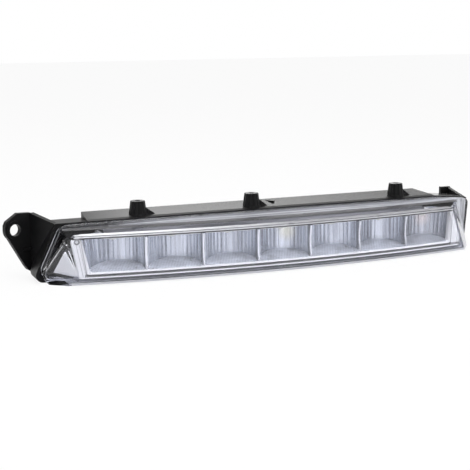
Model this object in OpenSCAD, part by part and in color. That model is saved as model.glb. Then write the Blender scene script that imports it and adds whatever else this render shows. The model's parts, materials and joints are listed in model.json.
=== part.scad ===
// Daytime running light bar with seven light cells behind a clear arched lens.
// All lengths are millimetres. The row frame has its origin at the centre of the ear's bolt hole.
// X runs along the lamp, away from the ear. Minus Y is the way the light shines. Z is up.

/* [View] */
// part to draw

/* [Lamp] */
// distance from one light cell to the next
cell_pitch = 32; // [26:0.5:38]
// half the height of the lens rim
rim_half = 15.3; // [13:0.1:20]
// top left corner of the rim, from the middle cell
rim_left_top = -122.3; // [-135:0.1:-118]
// bottom left corner of the rim
rim_left_bottom = -137.1; // [-150:0.1:-125]
// right end of the rim
rim_right = 136; // [125:0.5:150]
// slant of the rim's right end, how far its bottom lies further in
rim_right_slant = 2.6; // [0:0.1:5]
// place where the rim's top starts to fall towards the right end
shoulder_x = 113; // [100:0.5:125]
// fall of the rim's top at the right end
shoulder_drop = 2.1; // [0:0.1:4]

/* [Lens] */
// radius of the arched front in plan
arc_r = 714; // [500:1:1200]
// place of the front's foremost point along the lamp
arc_x = 9; // [-20:0.5:30]
// reach of the front ahead of the rim
lens_reach = 29.6; // [24:0.1:40]
// wall of the lens
lens_wall = 1.8; // [1.5:0.1:2.5]
// top edge of the front face
face_top = 11; // [9:0.1:12]
// bottom edge of the front face
face_bottom = -14.1; // [-15:0.1:-12]
// flat top of the lens behind its sloping band
lens_flat_top = 13.5; // [12:0.1:14.5]
// width of the sloping band along the top
slope_run = 13; // [6:0.5:18]
// thickness of the welding flange
flange_t = 3; // [2:0.1:5]
// step in from the flange's left end to the lens body
flange_step = 0.8; // [0.5:0.1:4]
// height of the notch line near the bottom of the left end face
notch_z = -11.8; // [-13:0.1:-8]
// depth of the tongue in the housing's groove
tongue_len = 3; // [2:0.1:4]
// thickness of the tongue
tongue_t = 1.6; // [1.2:0.1:2.4]

/* [Bezel] */
// gap between lens and bezel
bezel_gap = 0.6; // [0.3:0.1:1.5]
// wall of the bezel
bezel_wall = 1.4; // [1:0.1:2]
// lower edge of the bezel
bezel_bottom = -11.4; // [-12.5:0.1:-10]
// depth of the bezel's top and bottom lips behind the lens front
bezel_depth = 7.8; // [5:0.1:8]
// top edge of the window
window_top = 9.2; // [7:0.1:9.8]
// bottom edge of the window
window_bottom = -8.3; // [-10:0.1:-6]
// widening of the window's upper left corner
window_flare_left = 1.9; // [0:0.1:4]
// widening of the window's upper right corner
window_flare_right = 1.3; // [0:0.1:4]
// head radius of the bezel screw
bezel_screw_r = 1.6; // [1.2:0.1:2]
// place of the bezel screw along the lamp
bezel_screw_x = -116.6; // [-118:0.1:-115]
// height of the bezel screw
bezel_screw_z = 6.6; // [0:0.1:7]

/* [Reflector] */
// wall between two cells
divider_t = 1.2; // [0.8:0.1:2]
// depth of a cell
cell_depth = 15.2; // [10:0.1:18]
// wall of the reflector
cell_wall = 1.5; // [1:0.1:2.2]
// flat strips on the back wall of a cell
cell_strips = 7; // [5:2:11]
// turn of the cells towards the ear
cell_turn = 13; // [0:1:14]
// rise of a cell's floor towards its back
floor_tilt = 11; // [4:1:18]

/* [Light board] */
// underside of the light board
board_z = 8; // [7.5:0.1:9]
// thickness of the light board
board_t = 1.2; // [1:0.1:1.6]
// front edge of the board behind the lens front
board_front = 8.4; // [8:0.1:10]
// back edge of the board behind the lens front
board_back = 24; // [22:0.1:28]
// half length of the board
board_half = 102; // [98:0.5:112]
// thickness of the heat pad
pad_t = 0.3; // [0.2:0.1:0.8]
// base thickness of the heat sink
sink_t = 0.8; // [0.6:0.1:1.2]
// height of the heat sink's fins
fin_h = 0.8; // [0.4:0.1:1]
// left end of the heat sink
sink_left = -101; // [-106:0.5:-90]
// right end of the heat sink
sink_right = 97; // [90:0.5:106]
// side of a light diode
led_side = 3; // [2:0.1:3.5]
// distance of the diodes behind the lens front
led_depth = 11.5; // [10:0.1:14]

/* [Driver board] */
// middle of the driver board along the lamp
driver_x = 40; // [20:1:60]
// length of the driver board
driver_len = 62; // [50:1:80]
// height of the driver board
driver_h = 18; // [14:1:20]
// thickness of the driver board
driver_t = 1.6; // [1:0.1:2]

/* [Housing] */
// depth of the housing behind the rim
house_depth = 14; // [10:0.5:20]
// step of the housing's outside around the lens flange
house_step = 0.6; // [0.3:0.1:2]
// extra step of the housing at its top left corner
house_left_top = 2.6; // [1:0.1:4]
// extra step of the housing at its bottom left corner
house_left_bottom = 1.2; // [0.8:0.1:3]
// wall of the housing
house_wall = 2.2; // [1.8:0.1:3]
// rise of the top plate towards the back
plate_rise = 3.3; // [0:0.1:5]
// left end of the raised top plate
plate_left = -106.7; // [-115:0.1:-95]
// right end of the raised top plate at its back
plate_right = 105; // [95:0.5:112]
// place of the small rib on the raised plate
plate_rib_x = 4; // [-5:0.5:20]
// length of the small rib
plate_rib_len = 6; // [3:0.5:9]

/* [Ear] */
// place of the fold between web and ear along the lamp
ear_fold_x = -134.7; // [-140:0.1:-130]
// distance of the fold behind the rim
ear_fold_y = 18; // [10:0.5:30]
// thickness of the ear
ear_t = 2.8; // [2:0.1:5]
// turn of the ear towards the front
ear_turn = 18; // [0:1:30]
// distance from fold to bolt hole
ear_hole_u = 9.3; // [8:0.1:14]
// height of the bolt hole
ear_hole_z = 11.4; // [5:0.1:14]
// radius of the bolt hole, clearance for a 6 mm bolt
ear_hole_r = 3.3; // [2:0.1:4.5]
// radius of the ear's tip
ear_tip_r = 6.1; // [5.6:0.1:12]
// top of the ear at the fold
ear_top = 20; // [17:0.1:23]
// bottom of the ear at the fold
ear_bottom = -13.3; // [-16:0.1:-10]
// length of the small rib across the fold, on the ear
ear_rib_len = 4.6; // [2:0.1:6]
// radius of the ring round the bolt hole
ear_ring_r = 5.2; // [4.6:0.1:6]
// height of the ring round the bolt hole
ear_ring_h = 0.5; // [0.2:0.1:2]

/* [Top bosses] */
// place of the left boss along the lamp
boss_x1 = -76.4; // [-90:0.1:-60]
// place of the middle boss along the lamp
boss_x2 = -7.4; // [-20:0.1:5]
// place of the right boss along the lamp
boss_x3 = 88.6; // [75:0.1:95]
// distance of the bosses behind the rim
boss_y = 5.4; // [5:0.1:8]
// top of the bosses
boss_top = 24.6; // [21:0.1:28]
// radius of a boss at its top
boss_r_top = 4.1; // [3.5:0.1:5]
// radius of a boss at its foot
boss_r_base = 5.3; // [4.5:0.1:6]
// radius of the screw hole in a boss
boss_hole_r = 1.6; // [1.2:0.1:2.2]
// depth of the screw hole
boss_hole_len = 7; // [5:0.5:8]
// how much deeper each boss hole is than the one on its left
boss_hole_step = 0.3; // [0:0.1:0.6]

/* [End hook] */
// reach of the hook behind the rim
hook_reach = 21.2; // [16:0.1:26]
// width of the hook's turned end
hook_width = 6.8; // [5:0.1:10]
// top of the hook's turned end
hook_top = 17.9; // [16:0.1:20]
// bottom of the hook
hook_bottom = 3; // [-5:0.5:8]
// wall of the hook
hook_wall = 2.2; // [1.8:0.1:3]

/* [Connector] */
// middle of the connector along the lamp
plug_x = 40; // [20:1:60]
// inside width of the socket
plug_w = 15; // [12:0.1:18]
// inside height of the socket
plug_h = 8.4; // [6:0.1:10]
// depth of the socket
plug_depth = 13; // [10:0.5:16]
// wall of the socket
plug_wall = 1.6; // [1.2:0.1:2.4]
// distance between contact pins
pin_pitch = 4; // [2.5:0.1:5]
// width of a contact pin
pin_w = 1.5; // [1:0.1:2.8]
// thickness of a contact pin
pin_t = 0.8; // [0.6:0.1:1]
// distance of the pins' ends inside the mouth of the socket
pin_recess = 5.6; // [4:0.1:8]

/* [Vent] */
// place of the vent along the lamp
vent_x = -40; // [-80:1:0]
// radius of the vent cap
vent_r = 6.5; // [5:0.1:8]
// height of the vent cap
vent_h = 3.4; // [2.5:0.1:5]
// radius of the breathing hole
vent_hole_r = 2.2; // [1.5:0.1:3]

/* [Fits] */
// side clearance of the tongue in its groove
groove_gap = 0.15; // [0.05:0.05:0.4]
// side clearance of a screw in a loose hole
screw_gap = 0.25; // [0.1:0.05:0.5]
// gap between bezel and reflector walls
front_gap = 0.3; // [0.2:0.1:1]
// side clearance of a pin in its slot
pin_gap = 0.05; // [0.02:0.01:0.2]

/* [Hidden] */
$fn = 64;
big = 400;
cells = 7;
cell_half = (cell_pitch - divider_t) / 2;
face_d = lens_wall + bezel_gap;
cell_d = face_d + bezel_wall;
rim_lean = (rim_left_top - rim_left_bottom) / (2 * rim_half);
slope_a = atan((lens_flat_top - face_top) / slope_run);
chamfer = rim_half + face_bottom;
pad_z = board_z + board_t;
sink_z = pad_z + pad_t;
back_y = house_depth;
driver_stand = 3.4;
driver_y = house_depth - house_wall - driver_stand;
shank_r = 1.2;
tap_r = shank_r;
head_r = 2.2;
groove_depth = 4.2;
rim_radii = [5, 3, 3, 3, 6];
house_radii = [4, 3.6, 3.6, 3.6, 1.5];
cap_recess = 1.4;
plate_rib_turn = 34;
plate_rib_t = 1.3;
side_plate_t = 2.6;
tab_t = 1.8;
tab_len = 10.6;
tab_gap = 0.4;
tab_h = 12;
post_depth = 20.6;
post_r = 2.6;
post_web_t = 2.2;
link_depth = 22.9;
link_t = 0.7;
link_hole = 0.9;
driver_hole_z = -6;
driver_drop = 0.5;
boss_web_t = 2.6;
boss_web_len = 9.6;
boss_web_drop = 3.4;
lens_reach_back = 80;

// the rim's five corners seen from the front: bottom left, bottom right, right top, shoulder, top left
rim = [[rim_left_bottom, -rim_half], [rim_right - rim_right_slant, -rim_half],
  [rim_right, rim_half - shoulder_drop],
  [shoulder_x, rim_half], [rim_left_top, rim_half]];

// middle of the bolt hole inside the lamp, at half the ear's thickness
hole_x = ear_fold_x - ear_hole_u * cos(ear_turn) - ear_t / 2 * sin(ear_turn);
hole_y = ear_fold_y - ear_hole_u * sin(ear_turn) + ear_t / 2 * cos(ear_turn);

// three points on each slanting end face of the lens
left_a = [-124.6, arc_y(-124.6, 0), face_top];
left_b = [-117.3, arc_y(-117.3, 0), notch_z];
left_c = [-132.8, -4, -9];
lip_b = [-120.8, arc_y(-120.8, 0), -rim_half];
right_a = [113.9, arc_y(113.9, 0), 9.4];
right_b = [120.3, arc_y(120.3, 0), -9];
right_c = [rim_right - 1.9 - flange_step, -3, -6];
left_n = unit(cross(left_c - left_a, left_b - left_a));
lip_n = unit(cross(left_b - left_c, lip_b - left_c));
right_n = unit(cross(right_b - right_a, right_c - right_a));

// Helper sums

function unit(v) = v / norm(v);
function inward(a, b) = unit([a[1] - b[1], b[0] - a[0]]);
function wrap(i, n) = (i + n) % n;
function arc_y(x, d) = -lens_reach + arc_r - sqrt((arc_r - d) * (arc_r - d) - (x - arc_x) * (x - arc_x));

// corner i of outline p after every edge has moved inwards by d
function moved(p, i, d) =
  let (n = len(p), a = inward(p[wrap(i - 1, n)], p[i]), b = inward(p[i], p[wrap(i + 1, n)]))
  p[i] + (a + b) * d / (1 + a * b);
function inset(p, d) = [for (i = [0 : len(p) - 1]) moved(p, i, d)];
function lowered(r, d) = [for (x = r) max(x - d, 0.6)];

// centre of the rounding with radius r at corner i
function round_at(p, i, r) = moved(p, i, r);
// outline with rounded corners, drawn as straight sides and true arcs
module rounded(p, radii) {
  n = len(p);
  polygon([for (i = [0 : n - 1]) for (s = [-1, 0])
    let (a = wrap(i + s, n), b = wrap(i + s + 1, n))
    round_at(p, i, radii[i]) - inward(p[a], p[b]) * radii[i]]);
  for (i = [0 : n - 1])
    translate(round_at(p, i, radii[i]))
      circle(r = radii[i]);
}

// stands a flat outline up in the XZ plane, from y to y + t
module wall_at(y, t) {
  translate([0, y + t, 0])
    rotate([90, 0, 0])
      linear_extrude(t)
        children();
}

// everything on the far side of a plane through point p with outward direction v
module beyond(p, v, d) {
  translate(p - v * d)
    rotate([0, acos(v[2]), atan2(v[1], v[0])])
      translate([-big, -big, 0])
        cube([2 * big, 2 * big, big]);
}

// slab that follows the arched front, from d0 to d1 behind it
module arched(d0, d1, x0, x1, z0, z1) {
  intersection() {
    translate([arc_x, arc_r - lens_reach, z0])
      difference() {
        cylinder(r = arc_r - d0, h = z1 - z0, $fn = 256);
        translate([0, 0, -1])
          cylinder(r = arc_r - d1, h = z1 - z0 + 2, $fn = 256);
      }
    translate([x0, -60, z0 - 1])
      cube([x1 - x0, 100, z1 - z0 + 2]);
  }
}

// upright screw with its head's underside at z = 0
module screw(len, head_h) {
  cylinder(r = head_r, h = head_h);
  translate([0, 0, -len])
    cylinder(r = shank_r, h = len + 0.1);
}

// Lens shape

// bevel along the bottom edge of the front, smaller the further it lies inside
function bevel(d) = max(chamfer - d * (2 - sqrt(2)), 0.2);

// section of the lens body, moved in by d
function lens_section(d) = [
  [arc_r - lens_reach_back, -rim_half + d],
  [arc_r - d - bevel(d), -rim_half + d],
  [arc_r - d, -rim_half + d + bevel(d)],
  [arc_r - d, face_top + d * tan(slope_a) - d / cos(slope_a)],
  [arc_r - (lens_flat_top - d - face_top + d / cos(slope_a)) / tan(slope_a), lens_flat_top - d],
  [arc_r - lens_reach_back, lens_flat_top - d]];

// outline of the lens body from the front, its bottom lowered by the step and its top left high
body_rim = [[rim_left_bottom - flange_step * rim_lean, -rim_half - flange_step],
  [rim_right - rim_right_slant, -rim_half - flange_step], [rim_right, 24],
  [rim_left_top + (24 - rim_half) * rim_lean, 24]];

// the lens section swept along the arch, moved in by d
module swept(d) {
  translate([arc_x, arc_r - lens_reach, 0])
    rotate_extrude($fn = 256)
      polygon(lens_section(d));
}

// solid that fills the lens body moved in by d, up to y = back
module lens_fill(d, back) {
  difference() {
    intersection() {
      swept(d);
      wall_at(-lens_reach - 5, lens_reach + 5 + back)
        intersection() {
          polygon(inset(body_rim, flange_step + d));
          translate([-big / 2, -rim_half])
            square([big, 40]);
        }
    }
    intersection() {
      beyond(left_a, left_n, d);
      beyond(left_c, lip_n, d);
    }
    beyond(right_a, right_n, d);
  }
}

module outer_lens() {
  color([0.93, 0.95, 0.97, 0.35])
    difference() {
      union() {
        lens_fill(0, 0);
        wall_at(-flange_t, flange_t)
          rounded(rim, rim_radii);
        wall_at(-0.5, tongue_len + 0.5)
          rounded(inset(rim, 1), lowered(rim_radii, 1));
      }
      lens_cavity();
    }
}

// hollow of the lens, with the wider mouth inside the tongue
module lens_cavity() {
  lens_fill(lens_wall, 1);
  wall_at(-0.5, tongue_len + 1)
    rounded(inset(rim, 1 + tongue_t), lowered(rim_radii, 1 + tongue_t));
}

module seal_bead() {
  color([0.16, 0.16, 0.17])
    difference() {
      wall_at(tongue_len, groove_depth - tongue_len)
        rounded(inset(rim, 1 - groove_gap), lowered(rim_radii, 1 - groove_gap));
      wall_at(tongue_len - 1, groove_depth)
        rounded(inset(rim, 1 + tongue_t + groove_gap), lowered(rim_radii, 1 + tongue_t + groove_gap));
    }
}

// Bezel

bezel_left = rim_left_top + 1.5;
window_half = cell_pitch * cells / 2;
side_x = window_half - 1.2;
tab_at = [-window_half - 5.5, window_half + 5.5];
window_outline = [[-window_half + window_flare_left, window_bottom],
  [window_half - window_flare_right, window_bottom],
  [window_half + 0.6, window_top], [-window_half - window_flare_left, window_top]];

// triangular side wing under the slanting left end of the lens
left_wing = [[-122.4, 2.4], [-128.4, bezel_bottom], [-115, bezel_bottom], [-115, 2.4]];
right_wing = [[112, 7], [112, bezel_bottom], [126, bezel_bottom], [126, 7]];

module wing(outline, p, v, y_end) {
  intersection() {
    wall_at(-30, 30 + y_end)
      polygon(outline);
    difference() {
      wall_at(-30, 40)
        translate([-big / 2, -20])
          square([big, 40]);
      beyond(p, v, face_d);
    }
    beyond(p, v, face_d + bezel_wall);
    swept(face_d);
  }
}

module bezel() {
  color([0.88, 0.89, 0.9])
    difference() {
      union() {
        difference() {
          intersection() {
            swept(face_d);
            arched(0, bezel_depth, bezel_left, 140, bezel_bottom, 20);
          }
          swept(face_d + bezel_wall);
          beyond(left_a, left_n, face_d);
          beyond(right_a, right_n, face_d);
        }
        wing(left_wing, left_a, left_n, -5);
        wing(right_wing, right_a, right_n, -8);
      }
      wall_at(-40, 45)
        polygon(window_outline);
      bezel_screw_place()
        cylinder(r = shank_r + screw_gap, h = 20, center = true);
    }
}

// axis of the bezel screw at the face of the bezel, Z pointing out of the arched face
module bezel_screw_place() {
  translate([bezel_screw_x, arc_y(bezel_screw_x, face_d), bezel_screw_z])
    rotate([90, 0, asin((bezel_screw_x - arc_x) / arc_r)])
      children();
}

module bezel_screw() {
  color([0.6, 0.6, 0.62])
    bezel_screw_place() {
      cylinder(r = bezel_screw_r, h = 0.4);
      translate([0, 0, -7])
        cylinder(r = shank_r, h = 7);
    }
}

// Reflector

function cell_x(i) = (i - (cells - 1) / 2) * cell_pitch;
function cell_y(i) = arc_y(cell_x(i), cell_d);

// half round plan of a cell with flat strips, open towards minus Y
function cell_plan(w, depth) = concat([[w, -4], [-w, -4]],
  [for (k = [0 : cell_strips]) let (a = 180 - 180 * k / cell_strips)
    [w * cos(a) + depth * sin(a) * tan(cell_turn), depth * sin(a)]]);

module cell_hollow(i) {
  intersection() {
    translate([cell_x(i), cell_y(i), window_bottom - 2])
      linear_extrude(board_z - window_bottom + 3)
        polygon(cell_plan(cell_half, cell_depth));
    translate([cell_x(i) - 30, cell_y(i), window_bottom])
      rotate([floor_tilt, 0, 0])
        translate([0, -8, 0])
          cube([60, 40, 30]);
  }
}

module cell_outside(i) {
  intersection() {
    translate([cell_x(i), cell_y(i), window_bottom - cell_wall])
      linear_extrude(board_z - window_bottom + cell_wall)
        polygon(cell_plan(cell_half + cell_wall, cell_depth + cell_wall));
    translate([cell_x(i) - 30, cell_y(i), window_bottom - cell_wall])
      rotate([floor_tilt, 0, 0])
        translate([0, -8, 0])
          cube([60, 40, 30]);
  }
}

// posts behind the walls between cells, one under each board screw
post_at = [for (i = [-2.5, -0.5, 0.5, 2.5]) [i * cell_pitch, post_depth]];
post_bottom = -6;

module reflector() {
  color([0.8, 0.82, 0.85])
    difference() {
      union() {
        intersection() {
          union()
            for (i = [0 : cells - 1])
              cell_outside(i);
          swept(cell_d + front_gap);
          translate([-window_half - cell_wall, -60, window_bottom - cell_wall])
            cube([2 * (window_half + cell_wall), 100, board_z - window_bottom + cell_wall]);
        }
        for (p = post_at) {
          translate([p[0], arc_y(p[0], p[1]), post_bottom])
            cylinder(r = post_r, h = board_z - post_bottom);
          translate([p[0] - post_web_t / 2, arc_y(p[0], cell_d + 4), post_bottom])
            cube([post_web_t, arc_y(p[0], p[1]) - arc_y(p[0], cell_d + 4), board_z - post_bottom]);
        }
        side_tabs();
        bezel_post();
      }
      for (i = [0 : cells - 1])
        cell_hollow(i);
      for (p = post_at)
        translate([p[0], arc_y(p[0], p[1]), 0])
          cylinder(r = tap_r, h = 20);
      for (x = tab_at)
        translate([x, 0, 0])
          rotate([90, 0, 0])
            cylinder(r = shank_r + screw_gap, h = 12, center = true);
      bezel_screw_place()
        cylinder(r = tap_r, h = 16, center = true);
    }
}

// ends of the reflector: a side plate and a screw tab each
module side_tabs() {
  plate_y = arc_y(side_x, cell_d + 4);
  for (s = [0, 1])
    mirror([s, 0, 0]) {
      translate([side_x, plate_y, -tab_h / 2])
        cube([side_plate_t, tab_gap + tab_t - plate_y, tab_h]);
      translate([side_x, tab_gap, -tab_h / 2])
        cube([tab_len, tab_t, tab_h]);
    }
}

// block on the left side plate that takes the bezel screw
module bezel_post() {
  intersection() {
    translate([bezel_screw_x - 1.9, arc_y(bezel_screw_x, 0), bezel_screw_z - 2.4])
      cube([abs(bezel_screw_x) + 2 - side_x, 10, 4.6]);
    swept(cell_d);
  }
}

// Light board, heat pad and heat sink

module board_holes(z) {
  for (p = post_at)
    translate([p[0], arc_y(p[0], p[1]), z])
      cylinder(r = shank_r + screw_gap, h = 4, center = true);
}

module light_board() {
  color([0.12, 0.3, 0.2])
    difference() {
      arched(board_front, board_back, -board_half, board_half, board_z, board_z + board_t);
      board_holes(board_z + 0.5);
      link_places(board_z)
        cylinder(r = link_t / 2, h = 8, center = true);
    }
}

module thermal_pad() {
  color([0.62, 0.66, 0.7])
    difference() {
      arched(board_front + 1.6, board_back - 1, sink_left, sink_right, pad_z, pad_z + pad_t);
      board_holes(pad_z);
      link_cutout(pad_z - 1);
    }
}

module heat_sink() {
  color([0.72, 0.73, 0.75])
    difference() {
      union() {
        arched(board_front + 1.6, board_back - 1, sink_left, sink_right, sink_z, sink_z + sink_t);
        for (d = [14, 16, 18, 22])
          arched(d, d + 0.8, sink_left, sink_right, sink_z + sink_t - 0.1, sink_z + sink_t + fin_h);
      }
      board_holes(sink_z);
      for (p = post_at)
        translate([p[0], arc_y(p[0], p[1]), sink_z + sink_t])
          cylinder(r = head_r + 0.3, h = 4);
      link_cutout(sink_z - 1);
    }
}

// window in pad and sink round the two link pins
module link_cutout(z) {
  translate([driver_x - 12, arc_y(driver_x, 21), z])
    cube([10, 8, 5]);
}

module board_screws() {
  color([0.65, 0.65, 0.68])
    for (p = post_at)
      translate([p[0], arc_y(p[0], p[1]), sink_z + sink_t])
        screw(9, fin_h);
}

// one light diode: square package with a low dome, facing down
module led(i) {
  color([0.95, 0.88, 0.45])
    translate([cell_x(i), arc_y(cell_x(i), led_depth), board_z]) {
      translate([-led_side / 2, -led_side / 2, -0.7])
        cube([led_side, led_side, 0.7]);
      translate([0, 0, -0.7])
        intersection() {
          translate([0, 0, 0.9])
            sphere(r = 1.5);
          translate([0, 0, -2])
            cylinder(r = 1.3, h = 2.2);
        }
    }
}

// Driver board and its pieces

driver_holes = [-27, 27];

module driver_screw_places() {
  for (x = driver_holes)
    translate([driver_x + x, driver_y, driver_hole_z])
      rotate([90, 0, 0])
        children();
}

module driver_board() {
  color([0.1, 0.28, 0.16])
    difference() {
      translate([driver_x - driver_len / 2, driver_y, -driver_h / 2 - driver_drop])
        cube([driver_len, driver_t, driver_h]);
      driver_screw_places()
        cylinder(r = shank_r + screw_gap, h = 8, center = true);
      for (i = [-1 : 1])
        pin_slot(i, pin_gap);
      link_places(board_z)
        cube([link_hole, link_hole, 2], center = true);
      translate([0, driver_y, 0])
        for (x = link_x)
          translate([x, driver_t / 2, link_z])
            cube([link_hole, 6, link_hole], center = true);
    }
}

module driver_screws() {
  color([0.65, 0.65, 0.68])
    driver_screw_places()
      screw(4.4, 1.3);
}

module driver_chip() {
  color([0.07, 0.07, 0.08]) {
    translate([driver_x - 2, driver_y - 1.6, 2.4])
      cube([6, 1.4, 4.6]);
    for (s = [0 : 3])
      for (z = [1.4, 6.6])
        translate([driver_x - 1.6 + s * 1.5, driver_y - 0.4, z])
          cube([0.5, 0.4, 1.4]);
  }
}

module inductor() {
  color([0.2, 0.2, 0.21])
    translate([driver_x + 12, driver_y, 1])
      rotate([90, 0, 0])
        difference() {
          cylinder(r = 4.5, h = 4);
          translate([0, 0, 3.2])
            cylinder(r = 2.6, h = 1);
        }
}

module capacitors() {
  color([0.5, 0.52, 0.55])
    for (x = [-18, -10])
      translate([driver_x + x, driver_y, -2.5])
        rotate([90, 0, 0]) {
          cylinder(r = 3.1, h = 5.6);
          translate([-3.3, -3.3, 0])
            cube([6.6, 6.6, 0.7]);
        }
}

// places of the resistors, and the size of one standing on end
resistor_at = [-24, -20.5, 7.2, 18.8, 22.3];
resistor = [1.6, 0.6, 3.1];
resistor_z = 5;

module resistors() {
  color([0.12, 0.12, 0.13])
    for (x = resistor_at)
      translate([driver_x + x, driver_y - resistor[1], resistor_z])
        cube(resistor);
}

module protection_diode() {
  color([0.08, 0.08, 0.09])
    translate([driver_x + 18.4, driver_y - 2.2, -5])
      cube([4.2, 2.2, 2.8]);
}

// two bent pins joining the light board to the driver board
link_x = [driver_x - 9, driver_x - 6];
link_z = 6.2;

module link_places(z) {
  for (x = link_x)
    translate([x, arc_y(x, link_depth), z])
      children();
}

module link_pins() {
  color([0.85, 0.7, 0.35])
    for (x = link_x) {
      translate([x, arc_y(x, link_depth), link_z - link_t / 2])
        cylinder(r = link_t / 2, h = board_z + board_t - link_z + link_hole);
      translate([x - link_t / 2, arc_y(x, link_depth), link_z - link_t / 2])
        cube([link_t, driver_y + driver_t + 0.6 - arc_y(x, link_depth), link_t]);
    }
}

// Housing

// side view of the top plate's wedge, from the rim to the back
module wedge(y0, y1, low, high, x0, x1) {
  translate([x0, 0, 0])
    rotate([90, 0, 90])
      linear_extrude(x1 - x0)
        polygon([[y0, low], [y1, low], [y1, high + plate_rise * y1 / house_depth],
          [y0, high + plate_rise * y0 / house_depth]]);
}

house_top = rim_half + house_step;
house_rim = [[rim_left_bottom - house_left_bottom, -house_top],
  [rim_right - rim_right_slant + house_step, -house_top],
  [rim_right + house_step, house_top - shoulder_drop], [shoulder_x, house_top],
  [rim_left_top - house_left_top, house_top]];

// raised top plate with its slanting right end
module top_plate() {
  intersection() {
    wedge(0, back_y, 5, house_top, plate_left, plate_right + 10);
    translate([0, 0, 4])
      linear_extrude(20)
        polygon([[plate_left, -1], [plate_right + 8, -1], [plate_right + 8, 2],
          [plate_right, back_y + 1], [plate_left, back_y + 1]]);
  }
}

module web_and_ear() {
  ux = ear_fold_x + 125;
  uy = ear_fold_y - 1;
  span = norm([ux, uy]);
  translate([-125, 1, 0])
    rotate([0, 0, atan2(uy, ux)])
      translate([0, -3, 0])
        wall_at(0, 3)
          polygon([[0, -10], [span, ear_bottom], [span, ear_top - 0.1], [0, house_top - 0.3]]);
  ear_frame() {
    wall_at(0, ear_t)
      ear_outline();
    translate([-ear_hole_u, 0, ear_hole_z])
      rotate([90, 0, 0])
        translate([0, 0, -0.2])
          cylinder(r = ear_ring_r, h = ear_ring_h + 0.2);
    translate([-ear_rib_len, -1, -0.7])
      cube([ear_rib_len + 0.4, 1.5, 1.2]);
  }
}

// frame of the ear: X along it with the fold at zero, front face at y = 0
module ear_frame() {
  translate([ear_fold_x, ear_fold_y, 0])
    rotate([0, 0, ear_turn])
      children();
}

// ear seen from the front: tip round the hole, slanting lower side, straight top
module ear_outline() {
  tip = [-ear_hole_u, ear_hole_z];
  translate(tip)
    circle(r = ear_tip_r);
  polygon([[1.5, ear_bottom], [0.7, ear_bottom], [-2.1, ear_bottom + 1.6], [-3.8, ear_bottom + 3.9],
    tip + ear_tip_r * [-0.87, -0.4], tip + ear_tip_r * [-1, 0.03], tip + ear_tip_r * [-0.98, 0.46],
    tip + ear_tip_r * [-0.8, 0.82], [tip[0] + 2, ear_top + 0.5], [0.8, ear_top], [1.5, ear_top - 0.3]]);
}

// small slanting rib on the raised plate
module plate_rib() {
  translate([plate_rib_x, house_depth - 2, house_top + plate_rise * 0.7])
    rotate([0, 0, plate_rib_turn])
      translate([0, -plate_rib_len, -1.6])
        cube([plate_rib_t, plate_rib_len, 2.2]);
}

boss_at = [boss_x1, boss_x2, boss_x3];

module boss(x) {
  base = house_top + plate_rise * boss_y / house_depth - 1.4;
  translate([x, boss_y, base])
    cylinder(r1 = boss_r_base, r2 = boss_r_top, h = boss_top - base);
  translate([x, boss_y - boss_web_t / 2, 0])
    wall_at(0, boss_web_t)
      polygon([[0, base], [boss_web_len, base], [boss_web_len, base + 1.2],
        [boss_r_top - 0.4, boss_top - boss_web_drop], [0, boss_top - boss_web_drop]]);
}

module end_hook() {
  x1 = rim_right + house_step;
  translate([x1 - hook_wall, 0, 0])
    rotate([90, 0, 90])
      linear_extrude(hook_wall)
        polygon([[6, hook_bottom], [hook_reach, hook_bottom], [hook_reach, hook_top],
          [0.4, rim_half - shoulder_drop], [0.4, hook_bottom]]);
  translate([x1 - hook_width, hook_reach - hook_wall, hook_bottom])
    cube([hook_width, hook_wall, hook_top - hook_bottom]);
}

module housing_hollow() {
  wall_at(-1, 7)
    rounded(inset(rim, 3.9), lowered(rim_radii, 3.9));
  wall_at(5.4, house_depth - house_wall - 5.4)
    rounded(inset(rim, house_wall - house_step), lowered(rim_radii, house_wall - house_step));
  wedge(5.4, house_depth - house_wall, 10, house_top - house_wall - 0.2, plate_left + house_wall, plate_right - 6);
  difference() {
    wall_at(-1, groove_depth + 1)
      rounded(inset(rim, 1 - groove_gap), lowered(rim_radii, 1 - groove_gap));
    wall_at(-2, groove_depth + 3)
      rounded(inset(rim, 1 + tongue_t + groove_gap), lowered(rim_radii, 1 + tongue_t + groove_gap));
  }
}

// posts inside the housing for reflector and driver board
module inner_posts() {
  for (x = tab_at)
    translate([x, 2.2, 0])
      rotate([-90, 0, 0])
        cylinder(r = 3, h = house_depth - 2.2 - 1);
  for (x = driver_holes)
    translate([driver_x + x, driver_y + driver_t, driver_hole_z])
      rotate([-90, 0, 0])
        cylinder(r = 2.6, h = house_depth - driver_y - driver_t - 1);
}

module post_holes() {
  for (x = tab_at)
    translate([x, 2, 0])
      rotate([-90, 0, 0])
        cylinder(r = tap_r, h = 9);
  for (x = driver_holes)
    translate([driver_x + x, driver_y, driver_hole_z])
      rotate([-90, 0, 0])
        cylinder(r = tap_r, h = 5);
}

module plug_outside() {
  translate([plug_x - plug_w / 2 - plug_wall, back_y - 0.5, -plug_h / 2 - plug_wall])
    cube([plug_w + 2 * plug_wall, plug_depth + 0.5, plug_h + 2 * plug_wall]);
  translate([plug_x - 2.5, back_y, plug_h / 2 + plug_wall - 0.1])
    cube([5, plug_depth - 3, 1.3]);
}

module plug_inside() {
  translate([plug_x - plug_w / 2, back_y, -plug_h / 2])
    cube([plug_w, plug_depth + 1, plug_h]);
}

module pin_slot(i, gap) {
  translate([plug_x + i * pin_pitch - pin_w / 2 - gap, driver_y - 2, -pin_t / 2 - gap])
    cube([pin_w + 2 * gap, 12, pin_t + 2 * gap]);
}

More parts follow.
